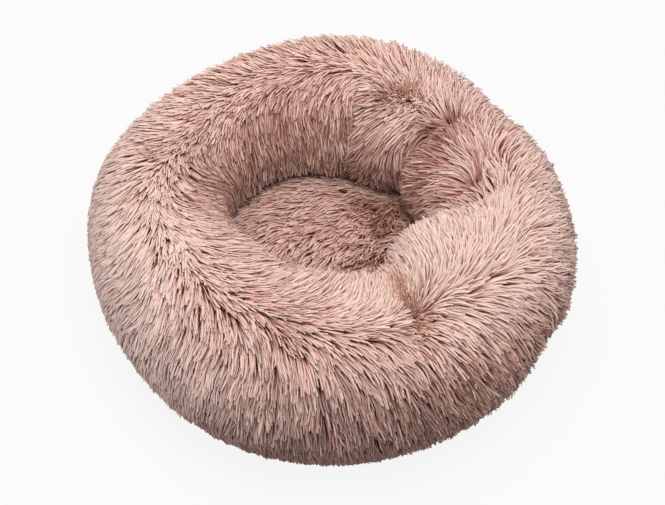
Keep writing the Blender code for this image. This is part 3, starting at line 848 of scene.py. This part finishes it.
def fur_material():
    """Root colours at the root and under each lock, tip colours towards the tip. The brown under
    each lock is painted shade, and the brown at the root is partly the fur's own and partly painted
    shade of the deep pile. The map's columns are the tones, and each runs from brown locks to pale
    ones."""
    made = Material(
        "long_fur", Roughness=0.75, Specular_IOR_Level=0.06,
        Sheen_Weight=0.12, Sheen_Roughness=0.45, Sheen_Tint=tone(232, 180, 164),
    )
    shade, along, _ = made.parts(made.node("ShaderNodeUVMap", {"uv_map": "OFBake"}, {}))
    tips, roots = (
        made.node("ShaderNodeValToRGB", {"stops": spaced_stops(tones)}, {0: shade})
        for tones in (TIP_TONES, ROOT_AND_SHADE_TONES)
    )
    across = (shade * (TONE_COLUMNS * TONES)).math("FRACT")
    ridge = (across - 0.5).math("ABSOLUTE") * 2.5
    streak = made.node("ShaderNodeCombineXYZ", {}, {0: shade * 420.0, 1: along * 3.0})
    grain = made.noise(streak, 1.0, 2.0)
    # Painted shade: under each lock, where the ridge is low, the root colour takes over
    side = made.climb(ridge, 0.36, 0.80)
    light = made.climb(along, 0.12, 0.62) * (0.15 + 0.85 * side) + (grain - 0.5) * 0.10
    made.paint(light, roots, tips)
    return made.data


def woven_material(name, colour, pitch, roughness):
    """Plain weave: threads over and under each other, with slubs, faint wear and painted shade where
    the threads dip.
    """
    made = Material(name, Roughness=roughness, Specular_IOR_Level=0.25, Sheen_Weight=0.1)
    place = made.place()
    x, y, z = (part * (math.pi / pitch) for part in made.parts(place))
    warp = x.math("SINE").math("ABSOLUTE")
    weft = (y + z).math("SINE").math("ABSOLUTE")
    over = (x * 0.5).math("SINE") * ((y + z) * 0.5).math("SINE")
    pick = over.math("GREATER_THAN", 0.0)
    height = warp * pick + weft * (1.0 - pick)
    slub = made.noise(place, 380.0, 3.0)
    wear = made.noise(place, 26.0, 3.0)
    # Painted shade where the threads dip, with the slubs and wear of the cloth
    shade = 0.62 + height * 0.30 + (slub - 0.5) * 0.35 + (wear - 0.5) * 0.22
    made.paint(shade, dimmed(colour, 0.45), dimmed(colour, 1.25))
    made.emboss(0.6, pitch * 0.25, height + slub * 0.4)
    return made.data


def wadding_material():
    """White polyester fibre, teased out in soft strands."""
    made = Material("fibre_wadding", Roughness=0.95, Specular_IOR_Level=0.2, Sheen_Weight=0.3)
    place = made.place()
    bent = {0: made.noise(place, 30.0, 2.0, "Color"), 1: (0.05,) * 3, 2: place}
    mixed = made.node("ShaderNodeVectorMath", {"operation": "MULTIPLY_ADD"}, bent)
    strands = made.noise(mixed, 240.0, 5.0, Roughness=0.7, Distortion=1.5)
    made.paint(strands, tone(205, 202, 195), tone(246, 245, 241))
    made.emboss(0.8, 0.0012, strands)
    return made.data


def moulded_material(name, colour, roughness):
    """Satin moulded plastic with a faint mottle."""
    made = Material(name, Roughness=roughness)
    mottle = made.noise(made.place(), 900.0, 2.0)
    made.paint(mottle, dimmed(colour, 0.8), colour)
    made.feed("Roughness", roughness - 0.06 + mottle * 0.14)
    return made.data


def rubber_material():
    """Grey rubber of the grip dots, scuffed where they meet the floor."""
    made = Material("grip_rubber", Roughness=0.5)
    place = made.place()
    height = made.parts(place)[2]
    scuff = made.noise(place, 700.0, 4.0)
    share = made.climb(height, 0.0007, 0.0) * scuff * 1.4
    made.paint(share, tone(196, 190, 184), tone(150, 143, 137))
    made.feed("Roughness", 0.38 + share * 0.4)
    return made.data


def metal_material():
    """Satin nickel, with fine rubbing marks along the zip."""
    made = Material("zip_nickel", Metallic=1.0, Roughness=0.3)
    stretch = {"Vector": made.place(), "Scale": (60.0, 2400.0, 2400.0)}
    marks = made.noise(made.node("ShaderNodeMapping", {}, stretch), 1.0, 3.0)
    made.paint(marks, (0.50, 0.48, 0.46, 1.0), (0.72, 0.70, 0.68, 1.0))
    made.feed("Roughness", 0.22 + marks * 0.22)
    return made.data


def turned_shell(name, skin_line, back_line, steps):
    """A closed shell spun from two lines of radius and height, then given the ring's lobes."""
    bm = bmesh.new()
    verts = [bm.verts.new((r, 0.0, z)) for r, z in [*skin_line, *back_line[::-1]]]
    on_axis = skin_line[0][0] <= 0.0
    pairs = list(zip(verts, verts[1:])) + ([] if on_axis else [(verts[-1], verts[0])])
    edges = [bm.edges.new(pair) for pair in pairs]
    bmesh.ops.spin(
        bm, geom=verts + edges, cent=(0, 0, 0), axis=(0, 0, 1), angle=math.tau,
        steps=steps, use_merge=True, use_duplicate=False,
    )
    bmesh.ops.remove_doubles(bm, verts=bm.verts, dist=0.000003)
    bmesh.ops.recalc_face_normals(bm, faces=bm.faces)
    if bm.calc_volume(signed=True) < 0.0:
        bmesh.ops.reverse_faces(bm, faces=bm.faces)
    for vert, place in zip(bm.verts, lobed(np.array([v.co for v in bm.verts]))):
        vert.co = place
    return mesh_object(name, bm)


def line_under(skin, first, last, count, depth):
    """Radius and height of points a depth under a section curve."""
    place = np.linspace(first, last, count)
    at = np.stack(skin(place), axis=1)
    along = unit(np.stack(skin(place + 0.2), axis=1) - np.stack(skin(place - 0.2), axis=1))
    under = at + np.stack((-along[:, 1], along[:, 0]), axis=1) * depth
    return [tuple(p) for p in under]


def cushion_section(angle):
    """Radius and height of the cushion's pile: 90 is its crown and 0 its rim."""
    across, up = (
        np.maximum(wave(np.radians(angle)), 0.0) ** CUSHION_ROUNDNESS_SHARE
        for wave in (np.cos, np.sin)
    )
    return CUSHION_RADIUS * across, CUSHION_RIM_HEIGHT + CUSHION_CROWN * up


def fur_widths(count, draw):
    """Half widths of locks, some of them fine ones."""
    widths = LOCK_HALF_WIDTH * draw.uniform(*WIDTH_RANGE, count)
    return np.where(draw.random(count) < FINE_LOCK_SHARE, widths * 0.5, widths)


def whorl_roots(draw):
    """Roots of the extra short locks that fill the whorls."""
    azimuth, section, reach, *_ = np.repeat(WHORLS, WHORL_EXTRA_LOCKS, axis=0).T
    radius = ring_section(section)[0]
    azimuth = azimuth + draw.normal(size=len(azimuth)) * 0.6 * np.degrees(reach / radius)
    section = section + draw.normal(size=len(section)) * 0.6 * np.degrees(reach / BELLY_HEIGHT)
    return azimuth, section


def make_ring_fur(material):
    draw = np.random.default_rng(7)
    extra_azimuth, extra_section = whorl_roots(draw)
    jobs = (
        ("outer_wall", (LOWEST_ROOT_SECTION, 90.0), OUTER_SECTORS, OUTER_LOCKS, 36),
        ("inner_wall", (90.0, HIGHEST_ROOT_SECTION), INNER_SECTORS, INNER_LOCKS, 44),
    )
    for wall, sections, sectors, locks, cells in jobs:
        width = 360.0 / len(sectors)
        for index, sector in enumerate(sectors):
            start = FIRST_SECTOR + index * width
            azimuth, section = spread_roots(
                ring_skin, (start, start + width), sections, (120, cells), locks, draw
            )
            here = (extra_azimuth - start) % 360.0 < width
            here &= (extra_section > sections[0]) & (extra_section < sections[1])
            azimuth = np.concatenate((azimuth, extra_azimuth[here]))
            section = np.concatenate((section, extra_section[here]))
            lines, sides, ups = grow_ring(azimuth, section, draw)
            lines = settle(clump(lines, draw))
            skin = ring_skin(azimuth, section)
            tones, shade = ring_tones(skin, azimuth, section, draw)
            widths = fur_widths(len(azimuth), draw) * (1 - 0.4 * near_whorls(skin))
            roll = draw.uniform(-RING_ROLL, RING_ROLL, len(azimuth))
            name = f"{wall}_fur_{sector}"
            fur = fur_mesh(name, lines, sides, ups, widths, tones, shade, roll)
            add_piece(fur, [material], f"{wall}_panel")


def on_patch(azimuth, section, middle, spread, level, deep):
    """How far points of the ring are on a patch, from 0 to 1."""
    return around(azimuth, middle, spread) * bell(section - level, deep)


def bands(section, changes):
    """The sum of changes that each set in over a band of the section."""
    return sum(change * ramp(section, start, end) for start, end, change in changes)


def ring_tones(skin, azimuth, section, draw):
    """Each lock's tone, and its shade from brown to pale, which carry painted light and shade as
    well as the fur's own tone.
    """
    count = len(azimuth)
    mixed = on_patch(azimuth, section, *MIXED_PATCH)
    shade = 0.65 + 0.07 * mixed + (0.12 + 0.14 * mixed) * draw.normal(size=count)
    shade += 0.07 * wander(skin, 0.05, 41) + 0.08 * wander(skin, 0.014, 43)
    # Painted shade down into the nest, at its crease and low outside, and the whorls' own paler and
    # browner tone
    shade += bands(section, PAINTED_SHADE_BANDS) + whorl_change(skin, 3)
    # Patches partly of the fur's own tone and partly of painted light and shade
    for *patch, change in TONE_AND_PAINTED_LIGHT_PATCHES:
        shade += change * on_patch(azimuth, section, *patch)
    # Painted shade low on the front wall
    shade -= 0.32 * around(azimuth, -110.0, 50.0) * ramp(section, 75.0, 0.0)
    # Painted shade in the folds: browner locks, and some tan ones
    folded = near_lines(skin, FOLDS)
    # Painted light paler on the lobes' raised edges; painted shade browner in the folds
    shade += LOBE_EDGE_PAINTED_LIGHT * near_lines(skin, LOBE_EDGES) - FOLD_PAINTED_SHADE * folded
    # Grey locks as painted shade low outside, deep in the nest and at its crease; tan locks in the
    # whorls, and in the folds as part of their painted shade
    grey = bands(section, PAINTED_SHADE_GREY_BANDS) - 0.3 * around(azimuth, -40.0, 26.0)
    tan = np.maximum(near_whorls(skin) * 1.3, 0.5 * folded)
    peach = [share * on_patch(azimuth, section, *patch) for *patch, share in PEACH_PATCHES]
    tones = np.where(draw.random(count) < np.max(peach, axis=0), PEACH, ROSE)
    tones = np.where(draw.random(count) < grey, PAINTED_SHADE_GREY, tones)
    return np.where(draw.random(count) < tan, TAN, tones), shade


def make_cushion_fur(material):
    draw = np.random.default_rng(17)
    reach = 0.95 * CUSHION_RADIUS
    square = (-reach, reach)
    x, y = spread_roots(cushion_skin, square, square, (110, 110), CUSHION_SQUARE_LOCKS, draw)
    inside = np.hypot(x, y) < reach
    x, y = x[inside], y[inside]
    lines, sides, ups = grow_cushion(x, y, draw)
    lines = clump(lines, draw)
    count, skin = len(x), cushion_skin(x, y)
    shade = 0.82 + 0.16 * draw.normal(size=count) - 0.06 * ramp(x, 0.0, 0.08)
    shade += 0.10 * wander(skin, 0.016, 44)
    # Painted shade, with the fur's own brown, in the hollows
    shade -= HOLLOW_BROWN_AND_SHADE * near_lines(skin, CUSHION_HOLLOWS, cushion_skin)
    # Painted shade along the cushion's edge, under the ring's overhang
    shade -= 0.3 * ramp(np.hypot(x, y), 0.098, 0.115)
    tones = np.where(draw.random(count) < 0.1 + 0.6 * ramp(x, 0.03, 0.08), TAN, PEACH)
    widths = fur_widths(count, draw) * 0.85
    roll = draw.uniform(-CUSHION_ROLL, CUSHION_ROLL, count)
    fur = fur_mesh("cushion_fur", lines, sides, ups, widths, tones, shade, roll)
    add_piece(fur, [material], "cushion_top_panel")


def make_backings():
    """The knitted cloth that the pile is rooted in, a closed skin over each stuffed body."""
    cloth = woven_material("pile_backing", tone(172, 112, 94), 0.0011, 0.95)
    depths = (ROOT_DEPTH, ROOT_DEPTH + BACKING_THICKNESS)
    outer = [line_under(ring_section, 89.6, -66.0, 40, depth) for depth in depths]
    inner = [line_under(ring_section, 90.4, CREASE_SECTION, 44, depth)[::-1] for depth in depths]
    crown = CUSHION_RIM_HEIGHT + CUSHION_CROWN
    cushion = [
        [(0.0, crown - depth)] + line_under(cushion_section, 88.0, 1.0, 24, depth)
        for depth in depths
    ]
    for name, lines, steps, node in (
        ("outer_wall_backing", outer, 200, "outer_wall_panel"),
        ("inner_wall_backing", inner, 200, "inner_wall_panel"),
        ("cushion_backing", cushion, 120, "cushion_top_panel"),
    ):
        add_piece(turned_shell(name, *lines, steps), [cloth], node)


def node_copy(node, merge):
    """A bmesh of a CAD node's solid, with its doubles merged."""
    bm = bmesh.new()
    bm.from_mesh(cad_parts[node].data)
    bmesh.ops.remove_doubles(bm, verts=bm.verts, dist=merge)
    return bm


def make_stuffing():
    """Fibre wadding: lumpy, and nowhere outside the solid that it stands for."""
    wadding = wadding_material()
    for name, node, fill in (
        ("ring_stuffing", "bolster_fill", 0.7), ("cushion_stuffing", "cushion_fill", 0.6),
    ):
        bm = node_copy(node, 0.00002)
        long_edges = [e for e in bm.edges if e.calc_length() > STUFFING_LONGEST_EDGE]
        bmesh.ops.subdivide_edges(bm, edges=long_edges, cuts=1)
        bmesh.ops.triangulate(bm, faces=bm.faces)
        bm.normal_update()
        places = np.array([v.co for v in bm.verts])
        lumps = wander(places, 0.030, 61) + 0.4 * wander(places, 0.009, 62)
        for vert, lump in zip(bm.verts, np.clip(lumps, -1, 1)):
            if vert.co.z > STUFFING_FLAT_HEIGHT:
                vert.co -= vert.normal * (0.5 + 0.5 * lump) * STUFFING_LUMP
        add_piece(mesh_object(name, bm), [wadding], node)


def finish_in(made, index):
    """Gives the faces of newly made vertices one of the piece's materials."""
    for vert in made["verts"]:
        for face in vert.link_faces:
            face.material_index = index


def stitch(bm, place, half_length):
    """A short round-ended thread lying along its place's x axis."""
    size = Matrix.Diagonal((half_length, THREAD_RADIUS, THREAD_RADIUS, 1.0))
    made = bmesh.ops.create_icosphere(bm, subdivisions=1, radius=1.0, matrix=place @ size)
    finish_in(made, THREAD)


def dot_places(side):
    """Centres of the grip dots on one half of the base, in a staggered grid."""
    reach = BASE_RADIUS - DOT_MARGIN - DOT_RADIUS
    row_gap = DOT_PITCH * math.sqrt(3) / 2
    first_row = ZIP_SLOT_HALF + DOT_ZIP_MARGIN + DOT_RADIUS
    places = []
    for row in range(int((reach - first_row) / row_gap) + 1):
        y = first_row + row * row_gap
        half = math.sqrt(reach**2 - y**2)
        steps = int((half + DOT_PITCH) / DOT_PITCH)
        across = [k * DOT_PITCH + (row % 2) * DOT_PITCH / 2 for k in range(-steps, steps + 1)]
        places += [(x, side * y) for x in across if abs(x) <= half]
    return places


def half_disc(bm, side):
    """Half of the base's cloth, cut out along its straight edge where the zip runs."""
    radius, middle = BASE_RADIUS - CLOTH_EDGE, (CLOTH_BOTTOM + CLOTH_TOP) / 2
    bmesh.ops.create_cone(
        bm, cap_ends=True, segments=160, radius1=radius, radius2=radius,
        depth=CLOTH_TOP - CLOTH_BOTTOM, matrix=Matrix.Translation((0, 0, middle)),
    )
    cut = bisect(bm, (0, side * BASE_GAP, 0), (0, -side, 0), clear_outer=True)
    rim = [e for e in cut["geom_cut"] if isinstance(e, bmesh.types.BMEdge)]
    bmesh.ops.contextual_create(bm, geom=rim)
    bisect(bm, (0, side * ZIP_SLOT_HALF, 0), (0, 1, 0))
    for end in (ZIP_SLOT_HALF_LENGTH, -ZIP_SLOT_HALF_LENGTH):
        bisect(bm, (end, 0, 0), (1, 0, 0))
    middles = [(face, face.calc_center_median()) for face in bm.faces]
    inside = [
        face for face, at in middles
        if abs(at.x) < ZIP_SLOT_HALF_LENGTH and abs(at.y) < ZIP_SLOT_HALF - TINY
    ]
    bmesh.ops.delete(bm, geom=inside, context="FACES")
    bmesh.ops.bridge_loops(bm, edges=[e for e in bm.edges if e.is_boundary])


def zip_facing(bm, middle):
    """A small cloth tab across both tapes at the zip's end, with two bar tacks."""
    size = Matrix.Diagonal((FACING_HALF_LENGTH, FACING_HALF_WIDTH, FACING_HALF_HEIGHT, 1.0))
    place = Matrix.Translation((middle, 0.0, FACING_BOTTOM + FACING_HALF_HEIGHT))
    made = bmesh.ops.create_cube(bm, size=2.0, matrix=place @ size)
    finish_in(made, BINDING)
    edges = list({e for v in made["verts"] for e in v.link_edges})
    bmesh.ops.bevel(
        bm, geom=edges, offset=FACING_EDGE, segments=2, profile=0.5, affect="EDGES", material=-1,
    )
    for offset in (-TACK_OFFSET, TACK_OFFSET):
        for y in np.arange(-TACK_REACH, TACK_REACH, TACK_PITCH):
            place = Matrix.Translation((middle + offset, y, FACING_BOTTOM))
            stitch(bm, place, TACK_HALF_LENGTH)


def base_half(name, side, materials, node):
    """Half of the base: cloth with a bound rim, a stitched zip edge and domed grip dots."""
    bm = bmesh.new()
    half_disc(bm, side)
    start = math.asin(BASE_GAP / BASE_RADIUS)
    turn = Matrix.Rotation(start if side > 0 else math.pi + start, 4, "Z")
    loop = [bm.verts.new(turn @ Vector((BASE_RADIUS - r, 0, z))) for r, z in BINDING_SECTION]
    bmesh.ops.spin(
        bm, geom=[bm.faces.new(loop)], cent=(0, 0, 0), axis=(0, 0, 1),
        angle=math.pi - 2 * start, steps=110, use_merge=False, use_duplicate=False,
    )
    for face in bm.faces:
        middle = face.calc_center_median()
        at_rim = math.hypot(middle.x, middle.y) > BASE_RADIUS - BINDING_REACH
        if at_rim and len(face.verts) in (4, len(loop)):
            face.material_index = BINDING
    bmesh.ops.recalc_face_normals(bm, faces=bm.faces)
    for inset, half in ZIP_STITCH_ROWS:
        y = side * (ZIP_SLOT_HALF + inset)
        for x in np.arange(-half, half, STITCH_PITCH):
            stitch(bm, Matrix.Translation((x, y, STITCH_HEIGHT)), STITCH_LENGTH / 2)
    if side < 0:
        zip_facing(bm, FACING_MIDDLE)
        zip_facing(bm, -FACING_MIDDLE)
    seam = BASE_RADIUS - SEAM_INSET
    count = int(math.pi * seam / STITCH_PITCH) - 1
    for k in range(count):
        turn = Matrix.Rotation(side * math.pi * (k + 1) / (count + 1), 4, "Z")
        place = Matrix.Translation((seam, 0, STITCH_HEIGHT)) @ Matrix.Rotation(math.pi / 2, 4, "Z")
        stitch(bm, turn @ place, STITCH_LENGTH / 2)
    for x, y in dot_places(side):
        size = Matrix.Diagonal((DOT_RADIUS, DOT_RADIUS, DOT_DOME, 1.0))
        place = Matrix.Translation((x, y, DOT_DOME)) @ size
        made = bmesh.ops.create_uvsphere(bm, u_segments=14, v_segments=8, radius=1.0, matrix=place)
        finish_in(made, RUBBER)
    made = add_piece(mesh_object(name, bm), materials, node)
    made.data.set_sharp_from_angle(angle=SHARP_ANGLE)


def make_base():
    """Both halves of the base, in the cloth, the binding, the thread and the rubber."""
    materials = [
        woven_material("base_cloth_woven", tone(134, 122, 116), 0.0012, 0.85),
        woven_material("base_binding", tone(112, 98, 92), 0.0007, 0.80),
        woven_material("sewing_thread", tone(168, 152, 142), 0.0003, 0.70),
        rubber_material(),
    ]
    base_half("base_front", -1, materials, "base_panel_front")
    base_half("base_rear", 1, materials, "base_panel_rear")


def make_zip():
    """The zip's tapes and teeth with softened edges, and satin metal on its stops and slider."""
    tape = woven_material("zip_tape_woven", tone(148, 130, 124), 0.0005, 0.80)
    teeth = moulded_material("zip_teeth_moulded", tone(160, 140, 132), 0.35)
    for side in ("front", "rear"):
        bm = node_copy(f"zip_tape_{side}", 0.00001)
        flat = math.radians(2.0)
        bmesh.ops.dissolve_limit(bm, angle_limit=flat, verts=bm.verts, edges=bm.edges)
        for face in bm.faces:
            middle = face.calc_center_median()
            off_tape = abs(middle.z - TAPE_MIDDLE) > TAPE_HALF_THICKNESS + SLACK
            face.material_index = int(off_tape or abs(middle.y) < TAPE_EDGE - SLACK)
        made = mesh_object(f"tape_{side}", bm)
        add_piece(made, [tape, teeth], f"zip_tape_{side}")
        soft = made.modifiers.new("softened_edges", "BEVEL")
        soft.width, soft.segments, soft.limit_method = TEETH_SOFT_EDGE, 1, "ANGLE"
        soft.angle_limit = math.radians(50.0)
        made.data.set_sharp_from_angle(angle=SHARP_ANGLE)
    metal = metal_material()
    for node in METAL_NODES:
        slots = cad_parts[node].data.materials
        slots.clear()
        slots.append(metal)


def aimed(made, place, aim):
    """Puts a camera or a lamp at a place, looking at another."""
    made.location = place
    made.rotation_euler = (place - aim).to_track_quat("Z", "Y").to_euler()
    return made


def make_camera():
    up, target = math.radians(VIEW_ELEVATION), Vector(VIEW_TARGET)
    data = bpy.data.cameras.new("camera")
    data.sensor_width = SENSOR_WIDTH
    data.lens = FOCAL_PIXELS * SENSOR_WIDTH / PICTURE_WIDTH
    place = target + Vector((0.0, -math.cos(up), math.sin(up))) * VIEW_DISTANCE
    bpy.context.scene.camera = aimed(link_object("camera", data), place, target)


def make_studio():
    for name, place, size, power in LAMPS:
        data = bpy.data.lights.new(name, "AREA")
        data.shape, data.size, data.energy = "DISK", size, power
        aimed(link_object(name, data), Vector(place), LAMP_AIM)
    world = bpy.data.worlds.new("studio")
    world.use_nodes = True
    bpy.context.scene.world = world
    light = world.node_tree.nodes["Background"].inputs
    light["Color"].default_value, light["Strength"].default_value = WORLD_COLOUR, WORLD_STRENGTH
    floor = Material("studio_floor", Roughness=0.9, Base_Color=FLOOR_COLOUR)
    path = floor.node("ShaderNodeLightPath", {}, {}).output.node
    rays = ("Is Camera Ray", "Is Glossy Ray", "Is Transmission Ray")
    seen = sum((Socket(floor, path.outputs[ray]) for ray in rays), 0.0) * FLOOR_SHOWN_WHITE
    lit, glow = Socket(floor, floor.shader.outputs[0]), floor.node("ShaderNodeEmission", {}, {})
    mixed = floor.node("ShaderNodeMixShader", {}, {0: seen, 1: lit, 2: glow})
    floor.tree.links.new(mixed.output, floor.tree.nodes["Material Output"].inputs["Surface"])
    bm = bmesh.new()
    bmesh.ops.create_grid(bm, x_segments=1, y_segments=1, size=6.0)
    plane = mesh_object("floor", bm)
    plane.data.materials.append(floor.data)


def main():
    make_camera()
    make_studio()
    fur = fur_material()
    make_ring_fur(fur)
    make_cushion_fur(fur)
    make_backings()
    make_stuffing()
    make_base()
    make_zip()
    bpy.context.scene.view_settings.view_transform = "Standard"


main()
